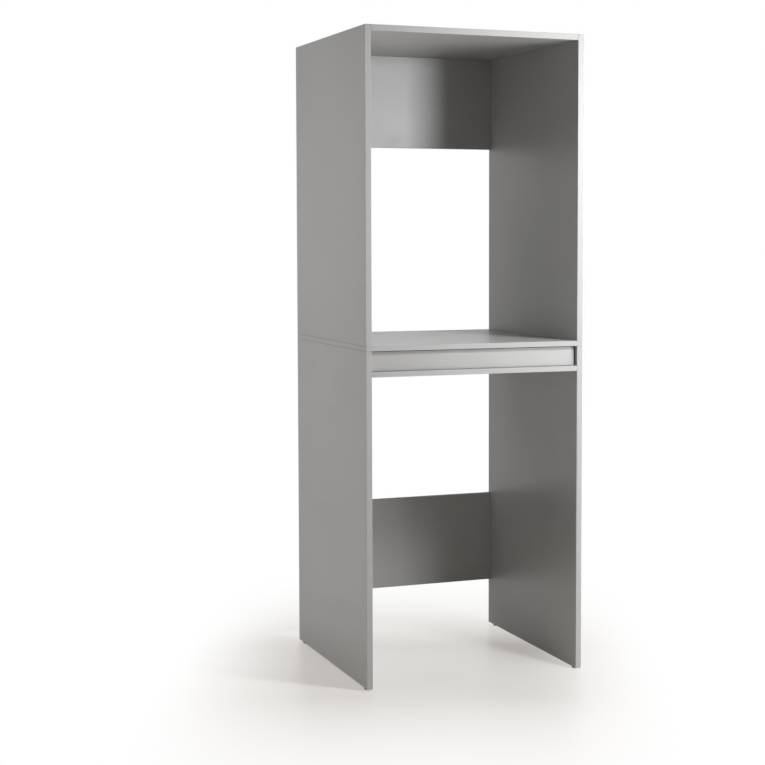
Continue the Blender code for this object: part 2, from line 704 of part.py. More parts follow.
def add_slides(material, cage_material):
    meshes = slide_meshes()
    for side, word in ((LEFT, "left"), (RIGHT, "right")):
        wall = Matrix.Translation((side * (INNER_HALF_WIDTH - FIT), SLIDE_MIDDLE, SLIDE_AXIS_LEVEL))
        turn = Matrix.Rotation(0 if side == RIGHT else math.pi, 4, "Z")
        for piece, mesh in meshes.items():
            finish = cage_material if "cage" in piece else material
            add_object(f"{word}_slide_{piece}", mesh, finish, wall @ turn)


def add_pullout(material):
    """The shelf board with its front and the battens that the slides are screwed to."""
    width = PULLOUT_HALF_WIDTH
    batten_top = SHELF_BASE - FIT
    front_top = PULLOUT_BASE + PULLOUT_FRONT_HEIGHT
    rear_batten_front = SHELF_REAR - PULLOUT_BOARD
    between = BATTEN_INNER - FIT
    shelf_top = SHELF_BASE + PULLOUT_BOARD
    front_low = (-width, PULLOUT_FRONT_FACE, PULLOUT_BASE)
    front_high = (width, PULLOUT_FRONT_BACK, front_top)
    rear_low = (-between, rear_batten_front, PULLOUT_BASE)
    rear_high = (between, SHELF_REAR, batten_top)
    pieces = [
        ("pullout_front", front_low, front_high),
        ("pullout_shelf", (-width, SHELF_FRONT, SHELF_BASE), (width, SHELF_REAR, shelf_top)),
        ("pullout_rear_batten", rear_low, rear_high),
    ]
    for side, word in ((LEFT, "left"), (RIGHT, "right")):
        low_x, high_x = sorted((side * BATTEN_INNER, side * BATTEN_OUTER))
        low, high = (low_x, SHELF_FRONT, PULLOUT_BASE), (high_x, SHELF_REAR, batten_top)
        pieces.append((f"pullout_{word}_batten", low, high))
    carriage = bpy.data.objects.new("pullout_carriage", None)
    bpy.context.scene.collection.objects.link(carriage)
    carriage.location = (0, SLIDE_MIDDLE, SLIDE_AXIS_LEVEL)
    bpy.context.view_layer.update()
    for name, low, high in pieces:
        piece = Board(name, low, high, material).object
        piece.parent = carriage
        piece.matrix_parent_inverse = carriage.matrix_world.inverted()


def main():
    clear_scene()
    board_grey = new_material("light_grey_melamine_board", (0.420, 0.418, 0.413), 0.42)
    zinc = new_material("zinc_fixings", (0.55, 0.55, 0.53), 0.38, 0.9)
    slide_steel = new_material("zinc_plated_slide_steel", (0.62, 0.63, 0.64), 0.32, 0.95)
    cage_steel = new_material("ball_cage_steel", (0.45, 0.45, 0.46), 0.35, 0.9)
    glide_plastic = new_material("dark_glide_plastic", (0.035, 0.033, 0.032), 0.55)

    boards = add_boards(board_grey)
    cams = {thickness: cam_mesh(thickness) for thickness in (BOARD, SHELF_BOARD)}
    meshes = {"cam": cams, "bolt": bolt_mesh(), "screw": screw_mesh()}
    fix_boards_between_sides(boards, zinc, meshes)
    fix_sides_to_middle_board(boards, zinc, meshes)
    add_glides(boards, glide_mesh(), glide_plastic)
    for board in boards.values():
        board.finish()
    add_pullout(board_grey)
    add_slides(slide_steel, cage_steel)


main()
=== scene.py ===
import math

import bmesh
import bpy
from mathutils import Matrix, Vector


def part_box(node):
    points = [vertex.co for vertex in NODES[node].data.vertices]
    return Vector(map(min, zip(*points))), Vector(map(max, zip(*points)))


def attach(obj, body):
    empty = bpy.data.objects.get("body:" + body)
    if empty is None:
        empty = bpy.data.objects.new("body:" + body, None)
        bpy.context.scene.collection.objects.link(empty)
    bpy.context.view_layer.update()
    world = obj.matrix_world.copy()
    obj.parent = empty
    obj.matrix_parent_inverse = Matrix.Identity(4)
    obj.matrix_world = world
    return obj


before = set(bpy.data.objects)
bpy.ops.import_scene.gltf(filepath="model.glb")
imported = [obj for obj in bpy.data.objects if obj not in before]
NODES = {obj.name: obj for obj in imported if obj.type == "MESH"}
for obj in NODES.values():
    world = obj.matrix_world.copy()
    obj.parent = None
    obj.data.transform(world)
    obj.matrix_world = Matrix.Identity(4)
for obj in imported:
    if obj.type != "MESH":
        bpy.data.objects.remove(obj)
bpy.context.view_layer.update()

# Camera, fitted to the cabinet's corners in the photograph, with its turns in radians
CAMERA_PLACE = (-1.9757, -5.0776, 1.3495)
CAMERA_YAW = -0.3850
CAMERA_PITCH = -0.0668
CAMERA_LENS = 80.96
CAMERA_SENSOR = 36.0
CAMERA_SHIFT = (-0.100, -0.045)

# Linear colours
WHITE = (1.0, 1.0, 1.0)
BOARD_COLOUR = (0.420, 0.418, 0.413)
CORE_COLOUR = (0.520, 0.385, 0.235)
CORE_DARK = (0.250, 0.150, 0.075)
ZINC_COLOUR = (0.55, 0.55, 0.53)
STEEL_COLOUR = (0.62, 0.63, 0.64)
CAGE_COLOUR = (0.45, 0.45, 0.46)
BALL_COLOUR = (0.70, 0.70, 0.71)
SCREW_COLOUR = (0.58, 0.56, 0.50)
GLIDE_COLOUR = (0.035, 0.033, 0.032)


# Node trees

class TreeBuilder:
    """Adds nodes to a tree and links them."""

    def __init__(self, tree):
        self.tree = tree

    def add(self, kind, **settings):
        node = self.tree.nodes.new(kind)
        for key, value in settings.items():
            setattr(node, key, value)
        return node

    def link(self, source, target):
        self.tree.links.new(source, target)

    def feed(self, target, value):
        """Links a socket, or sets a plain value. A colour is given without its fourth number."""
        if isinstance(value, bpy.types.NodeSocket):
            self.link(value, target)
        elif target.type == "RGBA":
            target.default_value = (*value, 1.0)
        else:
            target.default_value = value

    def math(self, operation, *values):
        node = self.add("ShaderNodeMath", operation=operation)
        for socket, value in zip(node.inputs, values):
            self.feed(socket, value)
        return node.outputs[0]

    def mix_shaders(self, share, first, second):
        node = self.add("ShaderNodeMixShader")
        for socket, source in zip(node.inputs, (share, first, second)):
            self.link(source, socket)
        return node.outputs[0]

    def background_rays(self):
        """One for rays that show a surface as background: from the camera, in gloss or through glass."""
        path = self.add("ShaderNodeLightPath")
        seen = self.math("MAXIMUM", path.outputs["Is Camera Ray"], path.outputs["Is Glossy Ray"])
        return self.math("MAXIMUM", seen, path.outputs["Is Transmission Ray"])


class Shader(TreeBuilder):
    """A material and its node tree.

    A noise is given by scale, detail and roughness, and a bump by distance and strength.
    A range is given by its low and high end, and then by the results at these ends.
    """

    def __init__(self, name):
        self.material = bpy.data.materials.new(name)
        self.material.use_nodes = True
        super().__init__(self.material.node_tree)
        self.surface = self.tree.nodes["Principled BSDF"]
        self.place = self.add("ShaderNodeTexCoord").outputs["Object"]

    def vector_math(self, operation, first, second, output="Vector"):
        node = self.add("ShaderNodeVectorMath", operation=operation)
        self.feed(node.inputs[0], first)
        self.feed(node.inputs[1], second)
        return node.outputs[output]

    def axes(self, vector):
        node = self.add("ShaderNodeSeparateXYZ")
        self.link(vector, node.inputs[0])
        return node.outputs["X"], node.outputs["Y"], node.outputs["Z"]

    def stretched(self, scale, offset=(0.0, 0.0, 0.0)):
        node = self.add("ShaderNodeMapping")
        self.link(self.place, node.inputs["Vector"])
        node.inputs["Scale"].default_value = scale
        node.inputs["Location"].default_value = offset
        return node.outputs[0]

    def noise(self, scale, detail, roughness, vector=None):
        node = self.add("ShaderNodeTexNoise")
        self.link(vector or self.place, node.inputs["Vector"])
        node.inputs["Scale"].default_value = scale
        node.inputs["Detail"].default_value = detail
        node.inputs["Roughness"].default_value = roughness
        return node.outputs["Fac"]

    def cells(self, scale, vector=None, output="Distance"):
        node = self.add("ShaderNodeTexVoronoi")
        self.link(vector or self.place, node.inputs["Vector"])
        node.inputs["Scale"].default_value = scale
        return node.outputs[output]

    def spread(self, value, low, high, to_low=0.0, to_high=1.0, curve="LINEAR"):
        """Maps a range to another one and clamps it."""
        node = self.add("ShaderNodeMapRange", clamp=True, interpolation_type=curve)
        self.link(value, node.inputs["Value"])
        ends = {"From Min": low, "From Max": high, "To Min": to_low, "To Max": to_high}
        for key, number in ends.items():
            node.inputs[key].default_value = number
        return node.outputs["Result"]

    def fall(self, value, low, high, curve="LINEAR"):
        """One below a range and none above it."""
        return self.spread(value, low, high, 1.0, 0.0, curve)

    def mix(self, share, first, second):
        """Mixes two colours."""
        node = self.add("ShaderNodeMix", data_type="RGBA", blend_type="MIX")
        self.feed(node.inputs[0], share)
        colours = [socket for socket in node.inputs if socket.type == "RGBA"]
        for socket, value in zip(colours, (first, second)):
            self.feed(socket, value)
        return [socket for socket in node.outputs if socket.type == "RGBA"][0]

    def mix_value(self, share, first, second):
        """Mixes two numbers. The node's second input is a vector share that isn't used."""
        node = self.add("ShaderNodeMix", data_type="FLOAT")
        sockets = (node.inputs[0], node.inputs[2], node.inputs[3])
        for socket, value in zip(sockets, (share, first, second)):
            self.feed(socket, value)
        return node.outputs[0]

    def coat(self, tint, where, share, colour):
        """Lays a share of a colour over a tint where a mask is one."""
        return self.mix(self.math("MULTIPLY", where, share), tint, colour)

    def bump(self, height, distance, strength, before=None):
        node = self.add("ShaderNodeBump")
        node.inputs["Strength"].default_value = strength
        node.inputs["Distance"].default_value = distance
        self.link(height, node.inputs["Height"])
        if before:
            self.link(before, node.inputs["Normal"])
        return node.outputs["Normal"]

    def carve(self, mask, distance, strength, before):
        """Sinks the surface where a mask is one."""
        return self.bump(self.math("MULTIPLY", mask, -1.0), distance, strength, before)

    def finish(self, colour, roughness, normal, metallic=0.0, gloss=0.5):
        self.feed(self.surface.inputs["Base Color"], colour)
        self.feed(self.surface.inputs["Roughness"], roughness)
        self.feed(self.surface.inputs["Metallic"], metallic)
        self.feed(self.surface.inputs["Specular IOR Level"], gloss)
        self.link(normal, self.surface.inputs["Normal"])
        return self.material


def shaded(colour, factor):
    return tuple(channel * factor for channel in colour)


# Board: its laminate

LAMINATE_GLOSS = 0.32
CLOUD_NOISE = (3.1, 3.0, 0.55)
CLOUD_RANGE = (0.35, 0.65)
CLOUD_SHADES = (0.975, 1.02)
CLOUD_ROUGHNESS = (0.3, 0.7, 0.34, 0.42)
FLECK_NOISE = (420.0, 2.0, 0.6)
FLECK_RANGE = (0.3, 0.7, 0.0, 0.35)
FLECK_SHADE = 0.93
SMEAR_NOISE = (6.5, 4.0, 0.7)
SMEAR_STRETCH = (1.0, 0.35, 1.6)
SMEAR_OFFSET = (3.7, 1.9, 5.3)
SMEAR_ROUGHNESS = (0.55, 0.75, 0.0, 0.07)
PEARL_NOISE = (2600.0, 2.0, 0.55)
PEARL_BUMP = (0.00003, 0.55)
PIT_SCALE = 900.0
PIT_HEIGHT = 0.6
RIPPLE_NOISE = (38.0, 2.0, 0.5)
RIPPLE_BUMP = (0.00012, 0.35)

# Board: an edge band's thickness, and how far its glue line is full and reaches to either side
BAND = 0.0010
BAND_SHARE = 0.8
BAND_SHADE = 1.03
BAND_ROUGHNESS = 0.62
GLUE_FULL = 0.000048
GLUE_REACH = 0.00012
GLUE_SHARE = 0.55
GLUE_SHADE = 0.52
GLUE_BUMP = (0.00005, 0.8)

# Board: a strip along every edge, by distance from the edge, that is lightened as a painted highlight, and
# the nicks in it
EDGE_HIGHLIGHT_AND_WEAR_RANGE = (0.00025, 0.00085)
PAINTED_EDGE_HIGHLIGHT_SHARE = 0.5
PAINTED_EDGE_HIGHLIGHT_SHADE = 1.05
NICK_NOISE = (140.0, 3.0, 0.65)
NICK_STRETCH = (1.0, 1.0, 1.0)
NICK_OFFSET = (2.1, 7.7, 4.9)
NICK_RANGE = (0.68, 0.74)
NICK_SHARE = 0.7
NICK_SHADE = 0.6
NICK_ROUGHNESS = 0.3
NICK_BUMP = (0.00010, 0.7)

# Board: depths between which the laminate gives way to chipboard
CORE_RANGE = (0.00055, 0.000825)
CORE_ROUGHNESS = 0.9
CHIP_SCALE = 520.0
CHIP_STRETCH = (1.0, 1.0, 1.7)

# Board: the edges of each board that carry a band
BANDED_EDGES = {
    "left_lower_side": ("front", "rear"),
    "right_lower_side": ("front", "rear"),
    "left_upper_side": ("front", "rear", "top"),
    "right_upper_side": ("front", "rear", "top"),
    "middle_board": ("front", "rear"),
    "compartment_floor": ("front",),
    "top_board": ("front", "rear"),
    "upper_back_rail": ("base",),
    "lower_back_rail": ("top", "base"),
    "pullout_front": ("top", "base"),
    "pullout_shelf": ("rear",),
    "pullout_left_batten": (),
    "pullout_right_batten": (),
    "pullout_rear_batten": (),
}


def laminate_tint(shader, cloud):
    """The laminate's colour, with broad clouds and fine flecks."""
    shades = [shaded(BOARD_COLOUR, factor) for factor in CLOUD_SHADES]
    tint = shader.mix(shader.spread(cloud, *CLOUD_RANGE), *shades)
    fleck = shader.spread(shader.noise(*FLECK_NOISE), *FLECK_RANGE)
    return shader.mix(fleck, tint, shaded(BOARD_COLOUR, FLECK_SHADE))


def laminate_roughness(shader, cloud):
    """The laminate's roughness, with smears left by wiping."""
    smear = shader.noise(*SMEAR_NOISE, shader.stretched(SMEAR_STRETCH, SMEAR_OFFSET))
    plain = shader.spread(cloud, *CLOUD_ROUGHNESS)
    return shader.math("ADD", plain, shader.spread(smear, *SMEAR_ROUGHNESS))


def laminate_relief(shader):
    """Pearl grain with pits over a wider ripple."""
    pearl = shader.noise(*PEARL_NOISE)
    grain = shader.math("MULTIPLY_ADD", shader.cells(PIT_SCALE), PIT_HEIGHT, pearl)
    normal = shader.bump(grain, *PEARL_BUMP)
    return shader.bump(shader.noise(*RIPPLE_NOISE), *RIPPLE_BUMP, normal)


def either(shader, first, second):
    """The larger of two masks, where the first may be missing."""
    return second if first is None else shader.math("MAXIMUM", first, second)


def edge_bands(shader, low, high, banded):
    """Masks of the edge bands and of their glue lines."""
    y, z = shader.axes(shader.place)[1:]
    planes = {
        "front": (y, low.y, 1.0),
        "rear": (y, high.y, -1.0),
        "top": (z, high.z, -1.0),
        "base": (z, low.z, 1.0),
    }
    band = None
    glue = None
    for key in banded:
        level, plane, sign = planes[key]
        depth = shader.math("MULTIPLY", shader.math("SUBTRACT", level, plane), sign)
        off_line = shader.math("ABSOLUTE", shader.math("SUBTRACT", depth, BAND))
        glue = either(shader, glue, shader.fall(off_line, GLUE_FULL, GLUE_REACH))
        band = either(shader, band, shader.fall(depth, BAND - GLUE_REACH, BAND))
    return band, glue


def box_depths(shader, low, high):
    """Depth of a point under the nearest face of a box, and its distance from the box's nearest edge."""
    under_low = shader.axes(shader.vector_math("SUBTRACT", shader.place, tuple(low)))
    under_high = shader.axes(shader.vector_math("SUBTRACT", tuple(high), shader.place))
    first, second, third = (shader.math("MINIMUM", *pair) for pair in zip(under_low, under_high))
    smaller = shader.math("MINIMUM", first, second)
    larger = shader.math("MAXIMUM", first, second)
    face = shader.math("MINIMUM", smaller, third)
    edge = shader.math("MAXIMUM", smaller, shader.math("MINIMUM", larger, third))
    return face, edge


def edge_nicks(shader, edge_highlight_and_wear):
    """Mask of the small nicks, which lie only in the strip along the edges that also carries the painted
    highlight.
    """
    noise = shader.noise(*NICK_NOISE, shader.stretched(NICK_STRETCH, NICK_OFFSET))
    return shader.math("MULTIPLY", edge_highlight_and_wear, shader.spread(noise, *NICK_RANGE))


def chipboard(shader):
    """Colour of the chips inside a board."""
    chips = shader.cells(CHIP_SCALE, shader.stretched(CHIP_STRETCH), "Color")
    return shader.mix(shader.axes(chips)[0], CORE_DARK, CORE_COLOUR)


def board_material(node_name, banded):
    """Melamine-faced board: pearl texture, fused bands on the edges named, chipboard in the holes."""
    low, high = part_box(node_name)
    shader = Shader(f"melamine_{node_name}")
    cloud = shader.noise(*CLOUD_NOISE)
    tint = laminate_tint(shader, cloud)
    roughness = laminate_roughness(shader, cloud)
    normal = laminate_relief(shader)

    band, glue = edge_bands(shader, low, high, banded)
    if banded:
        tint = shader.coat(tint, band, BAND_SHARE, shaded(BOARD_COLOUR, BAND_SHADE))
        tint = shader.coat(tint, glue, GLUE_SHARE, shaded(BOARD_COLOUR, GLUE_SHADE))
        roughness = shader.mix_value(band, roughness, BAND_ROUGHNESS)

    face, edge = box_depths(shader, low, high)
    edge_highlight_and_wear = shader.fall(edge, *EDGE_HIGHLIGHT_AND_WEAR_RANGE)
    nicks = edge_nicks(shader, edge_highlight_and_wear)
    # Lightens the strip along every edge: a painted highlight
    tint = shader.coat(tint, edge_highlight_and_wear, PAINTED_EDGE_HIGHLIGHT_SHARE, shaded(BOARD_COLOUR, PAINTED_EDGE_HIGHLIGHT_SHADE))
    tint = shader.coat(tint, nicks, NICK_SHARE, shaded(CORE_COLOUR, NICK_SHADE))
    roughness = shader.math("MULTIPLY_ADD", nicks, NICK_ROUGHNESS, roughness)
    normal = shader.carve(nicks, *NICK_BUMP, normal)
    if banded:
        normal = shader.carve(glue, *GLUE_BUMP, normal)

    core = shader.spread(face, *CORE_RANGE)
    colour = shader.mix(core, tint, chipboard(shader))
    roughness = shader.mix_value(core, roughness, CORE_ROUGHNESS)
    return shader.finish(colour, roughness, normal, gloss=LAMINATE_GLOSS)


# Steel strip

METAL = 0.95
DRAW_NOISE = (60.0, 3.0, 0.6)
DRAW_STRETCH = (70.0, 1.0, 70.0)
DRAW_BUMP = (0.00002, 0.5)
GREASE_NOISE = (22.0, 3.0, 0.6)
SPANGLE_SCALE = 260.0
SPANGLE_SHADES = (0.92, 1.06)
STEEL_GREASE_RANGE = (0.5, 0.8, 0.0, 0.35)
STEEL_GREASE_SHADE = 0.72
STEEL_ROUGHNESS = (0.3, 0.7, 0.38, 0.50)
STEEL_GREASE_ROUGHNESS = (0.5, 0.8, 0.0, 0.12)
CAGE_GREASE_RANGE = (0.45, 0.75, 0.0, 0.5)
CAGE_GREASE_SHADE = 0.55
CAGE_ROUGHNESS = (0.3, 0.7, 0.28, 0.42)

# Balls in each of a cage's two rows, and how far a ball's rim blends into the strip
BALLS_IN_ROW = 5
BALL_RADIUS = 0.0015
BALL_RIM = 1.08
BALL_ROUGHNESS = 0.10


def draw_lines(shader):
    """Fine lines along Y, left by drawing the strip."""
    return shader.noise(*DRAW_NOISE, shader.stretched(DRAW_STRETCH))


def rolled_steel(name, colour):
    """Zinc-plated strip: fine draw lines along Y, soft spangle and a film of grease."""
    shader = Shader(name)
    lines = draw_lines(shader)
    grease = shader.noise(*GREASE_NOISE)
    spangle = shader.axes(shader.cells(SPANGLE_SCALE, output="Color"))[0]
    tint = shader.mix(spangle, *(shaded(colour, factor) for factor in SPANGLE_SHADES))
    film = shader.spread(grease, *STEEL_GREASE_RANGE)
    tint = shader.mix(film, tint, shaded(colour, STEEL_GREASE_SHADE))
    drawn = shader.spread(lines, *STEEL_ROUGHNESS)
    roughness = shader.math("ADD", drawn, shader.spread(grease, *STEEL_GREASE_ROUGHNESS))
    return shader.finish(tint, roughness, shader.bump(lines, *DRAW_BUMP), METAL)


def ball_distance(shader, low, high):
    """Distance of a point from the middle of the nearest ball, looked at along X."""
    y, z = shader.axes(shader.place)[1:]
    pitch = (high.y - low.y) / BALLS_IN_ROW
    steps = shader.math("DIVIDE", shader.math("SUBTRACT", y, low.y), pitch)
    along = shader.math("MULTIPLY", shader.math("SUBTRACT", shader.math("FRACT", steps), 0.5), pitch)
    middle = ((low + high) / 2).z
    row = high.z - middle - BALL_RADIUS
    level = shader.math("ABSOLUTE", shader.math("SUBTRACT", z, middle))
    across = shader.math("SUBTRACT", level, row)
    squares = [shader.math("POWER", side, 2.0) for side in (along, across)]
    return shader.math("SQRT", shader.math("ADD", *squares))


def ball_cage(node_name, colour):
    """A ball cage: drawn strip, with polished balls where the two rows lie."""
    shader = Shader(f"cage_{node_name}")
    lines = draw_lines(shader)
    grease = shader.spread(shader.noise(*GREASE_NOISE), *CAGE_GREASE_RANGE)
    strip = shader.mix(grease, colour, shaded(colour, CAGE_GREASE_SHADE))
    low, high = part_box(node_name)
    distance = ball_distance(shader, low, high)
    ball = shader.fall(distance, BALL_RADIUS, BALL_RADIUS * BALL_RIM)
    tint = shader.mix(ball, strip, BALL_COLOUR)
    roughness = shader.mix_value(ball, shader.spread(lines, *CAGE_ROUGHNESS), BALL_ROUGHNESS)
    return shader.finish(tint, roughness, shader.bump(lines, *DRAW_BUMP), METAL)


# Castings, screws and plastic

CAST_METAL = 0.9
CAST_NOISE = (1900.0, 3.0, 0.6)
CAST_BUMP = (0.00004, 0.6)
CAST_PATCH_NOISE = (130.0, 3.0, 0.6)
CAST_PATCH_RANGE = (0.35, 0.7)
CAST_PATCH_SHADE = 0.70
CAST_ROUGHNESS = (0.3, 0.7, 0.32, 0.50)

TURNED_NOISE = (700.0, 2.0, 0.5)
TURNED_BUMP = (0.00003, 0.5)
TURNED_ROUGHNESS = (0.3, 0.7, 0.26, 0.40)
YELLOW_NOISE = (90.0, 3.0, 0.6)
YELLOW_RANGE = (0.3, 0.7)
YELLOW_CAST = (1.0, 0.93, 0.78)

MOULD_NOISE = (1500.0, 3.0, 0.6)
MOULD_BUMP = (0.00004, 0.7)
MOULD_ROUGHNESS = 0.50
SCUFF_NOISE = (300.0, 4.0, 0.7)
SCUFF_RANGE = (0.45, 0.65)
SCUFF_LEVELS = (0.0003, 0.0016)
SCUFF_SHADE = 3.2
SCUFF_ROUGHNESS = 0.72


def cast_zinc(name, colour):
    """Die-cast zinc: grainy skin with dull patches."""
    shader = Shader(name)
    grain = shader.noise(*CAST_NOISE)
    patch = shader.noise(*CAST_PATCH_NOISE)
    tint = shader.mix(shader.spread(patch, *CAST_PATCH_RANGE), colour, shaded(colour, CAST_PATCH_SHADE))
    roughness = shader.spread(patch, *CAST_ROUGHNESS)
    return shader.finish(tint, roughness, shader.bump(grain, *CAST_BUMP), CAST_METAL)


def plated_screw(name, colour):
    """Zinc-plated screw steel with turning marks and a yellow cast in places."""
    shader = Shader(name)
    marks = shader.noise(*TURNED_NOISE)
    patch = shader.noise(*YELLOW_NOISE)
    yellow = tuple(channel * factor for channel, factor in zip(colour, YELLOW_CAST))
    tint = shader.mix(shader.spread(patch, *YELLOW_RANGE), colour, yellow)
    roughness = shader.spread(marks, *TURNED_ROUGHNESS)
    return shader.finish(tint, roughness, shader.bump(marks, *TURNED_BUMP), METAL)


def moulded_plastic(name, colour):
    """Dark moulded plastic: eroded tool texture, with a paler scuffed rim at the sole."""
    shader = Shader(name)
    grain = shader.noise(*MOULD_NOISE)
    scuff = shader.spread(shader.noise(*SCUFF_NOISE), *SCUFF_RANGE)
    sole = shader.fall(shader.axes(shader.place)[2], *SCUFF_LEVELS)
    worn = shader.math("MULTIPLY", sole, scuff)
    tint = shader.mix(worn, colour, shaded(colour, SCUFF_SHADE))
    roughness = shader.mix_value(worn, MOULD_ROUGHNESS, SCUFF_ROUGHNESS)
    return shader.finish(tint, roughness, shader.bump(grain, *MOULD_BUMP))


def finish_of(name, shared):
    """A node's finish. Boards and ball cages have one each, and the others share theirs."""
    if name in BANDED_EDGES:
        return board_material(name, BANDED_EDGES[name])
    if name.endswith("_cage"):
        return ball_cage(name, CAGE_COLOUR)
    if name.endswith("_glide"):
        return shared["plastic"]
    if name.endswith("_cam"):
        return shared["zinc"]
    if "_slide_" in name:
        return shared["steel"]
    return shared["screw"]


def dress_nodes():
    """Gives every CAD node its finish, and returns the one that screws have."""
    shared = {
        "steel": rolled_steel("zinc_plated_strip", STEEL_COLOUR),
        "zinc": cast_zinc("zinc_casting", ZINC_COLOUR),
        "screw": plated_screw("screw_plating", SCREW_COLOUR),
        "plastic": moulded_plastic("glide_plastic", GLIDE_COLOUR),
    }
    for name, node in NODES.items():
        finish = finish_of(name, shared)
        for holder in node.material_slots:
            holder.material = finish
    return shared["screw"]


# Small screws: the sizes of the two kinds

SLIDE_SCREW = {"radius": 0.0021, "height": 0.0011, "shank": 0.0014, "reach": 0.0030, "cross": 0.0024}
BATTEN_SCREW = {"radius": 0.0038, "height": 0.0004, "shank": 0.0020, "reach": 0.0040, "cross": 0.0044}

# Small screws: the head's profile, with its rim as a share of the head and the rest in shares of the rim
RIM_SHARE = 0.35
CROWN_DROP = 0.12
SHOULDER_DROP = 0.35
CORNER_INSET = 0.3
CORNER_DROP = 0.62
SIDE_DROP = 1.3

# Small screws: shares of the head's radius, of its height and of the cross's length
CROWN_RADIUS_SHARE = 0.55
CROSS_DEPTH_SHARE = 0.42
NECK_SHARE = 0.2
CROSS_WIDTH_SHARE = 0.22

# Small screws: the turned mesh
TURNED_STEPS = 32
MERGE_DISTANCE = 1e-6
SHARP_ANGLE = math.radians(35)

# Small screws: where they sit along a slide member, and along a batten as shares of its length
SLIDE_HOLE_SETBACK = 0.035
SLIDE_SLOT_OFFSET = 0.110
BATTEN_SCREW_SHARES = (0.08, 0.50, 0.92)


def screw_profile(size):
    """Half the outline of a screw, from the middle of its face to its tip."""
    radius = size["radius"]
    height = size["height"]
    rim = min(radius, height) * RIM_SHARE
    return [
        (0.0, height),
        (radius * CROWN_RADIUS_SHARE, height - rim * CROWN_DROP),
        (radius - rim, height - rim * SHOULDER_DROP),
        (radius - rim * CORNER_INSET, height - rim * CORNER_DROP),
        (radius, height - rim * SIDE_DROP),
        (radius, 0.0),
        (size["shank"], -height * NECK_SHARE),
        (size["shank"], -size["reach"]),
        (0.0, -size["reach"] - size["shank"]),
    ]


def screw_body(size):
    """A screw without its recess, its seat at the origin and its face towards +Z."""
    body = bmesh.new()
    points = [body.verts.new((distance, 0.0, level)) for distance, level in screw_profile(size)]
    edges = [body.edges.new(pair) for pair in zip(points, points[1:])]
    bmesh.ops.spin(
        body,
        geom=points + edges,
        cent=(0, 0, 0),
        axis=(0, 0, 1),
        angle=math.tau,
        steps=TURNED_STEPS,
        use_merge=True,
    )
    bmesh.ops.remove_doubles(body, verts=body.verts, dist=MERGE_DISTANCE)
    bmesh.ops.recalc_face_normals(body, faces=body.faces)
    return body


def cross_cut(size):
    """The form that the cross recess takes away."""
    long_side = size["cross"]
    depth = size["radius"] * CROSS_DEPTH_SHARE
    face = Matrix.Translation((0, 0, size["height"]))
    stretch = Matrix.Diagonal((long_side, long_side * CROSS_WIDTH_SHARE, 2 * depth, 1.0))
    cutter = bmesh.new()
    for turn in (0.0, math.pi / 2):
        bmesh.ops.create_cube(cutter, size=1.0, matrix=face @ Matrix.Rotation(turn, 4, "Z") @ stretch)
    return cutter


def object_from(name, body):
    """An object in the scene with the mesh that was built."""
    mesh = bpy.data.meshes.new(name)
    body.to_mesh(mesh)
    body.free()
    obj = bpy.data.objects.new(name, mesh)
    bpy.context.scene.collection.objects.link(obj)
    return obj


def smooth(mesh):
    mesh.shade_smooth()
    mesh.set_sharp_from_angle(angle=SHARP_ANGLE)


def screw_mesh(name, size):
    """A screw with its cross recess cut in."""
    head = object_from(name, screw_body(size))
    cutter = object_from(f"{name}_cutter", cross_cut(size))
    cut = head.modifiers.new("recess", "BOOLEAN")
    cut.operation = "DIFFERENCE"
    cut.solver = "EXACT"
    cut.object = cutter
    cut.use_self = True
    bpy.context.view_layer.update()
    shaped = head.evaluated_get(bpy.context.evaluated_depsgraph_get())
    mesh = bpy.data.meshes.new_from_object(shaped)
    mesh.name = name
    for obj in (head, cutter):
        bpy.data.objects.remove(obj, do_unlink=True)
    smooth(mesh)
    return mesh


def screw_group(name, mesh, places, finish, body):
    """One piece that holds a screw at each place."""
    joined = bmesh.new()
    for place in places:
        copy = mesh.copy()
        copy.transform(place)
        joined.from_mesh(copy)
        bpy.data.meshes.remove(copy)
    group = object_from(name, joined)
    group.data.materials.append(finish)
    smooth(group.data)
    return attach(group, body)


def facing(point, direction):
    """The place of a screw that sits at a point with its face in a direction."""
    turn = Vector(direction).to_track_quat("Z", "Y").to_matrix().to_4x4()
    return Matrix.Translation(point) @ turn


def add_slide_screws(side, member, body, heads_x, mesh, finish):
    """The four screws of a slide member. Their seats lie in its outer wall and their heads face along X."""
    low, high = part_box(f"{side}_slide_{member}")
    wall = low.x if heads_x > 0 else high.x
    middle = (low.y + high.y) / 2
    level = (low.z + high.z) / 2
    end = (high.y - low.y) / 2 - SLIDE_HOLE_SETBACK
    offsets = (-end, -SLIDE_SLOT_OFFSET, SLIDE_SLOT_OFFSET, end)
    places = [facing((wall, middle + offset, level), (heads_x, 0, 0)) for offset in offsets]
    screw_group(f"{side}_{member}_screws", mesh, places, finish, body)


def add_batten_screws(side, mesh, finish):
    """The screws that hold a side batten under the shelf, with their heads below."""
    low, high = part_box(f"pullout_{side}_batten")
    middle = (low.x + high.x) / 2
    rows = [low.y + share * (high.y - low.y) for share in BATTEN_SCREW_SHARES]
    places = [facing((middle, row, low.z), (0, 0, -1)) for row in rows]
    screw_group(f"pullout_{side}_batten_screws", mesh, places, finish, "pullout")


def add_small_screws(finish):
    slide_screw = screw_mesh("slide_screw", SLIDE_SCREW)
    batten_screw = screw_mesh("batten_screw", BATTEN_SCREW)
    for side, sign in (("left", -1), ("right", 1)):
        add_slide_screws(side, "cabinet_member", "cabinet", -sign, slide_screw, finish)
        add_slide_screws(side, "shelf_member", "pullout", sign, slide_screw, finish)
        add_batten_screws(side, batten_screw, finish)


# Floor: its extent, its colour for light that bounces off it, and its colour and grain as seen

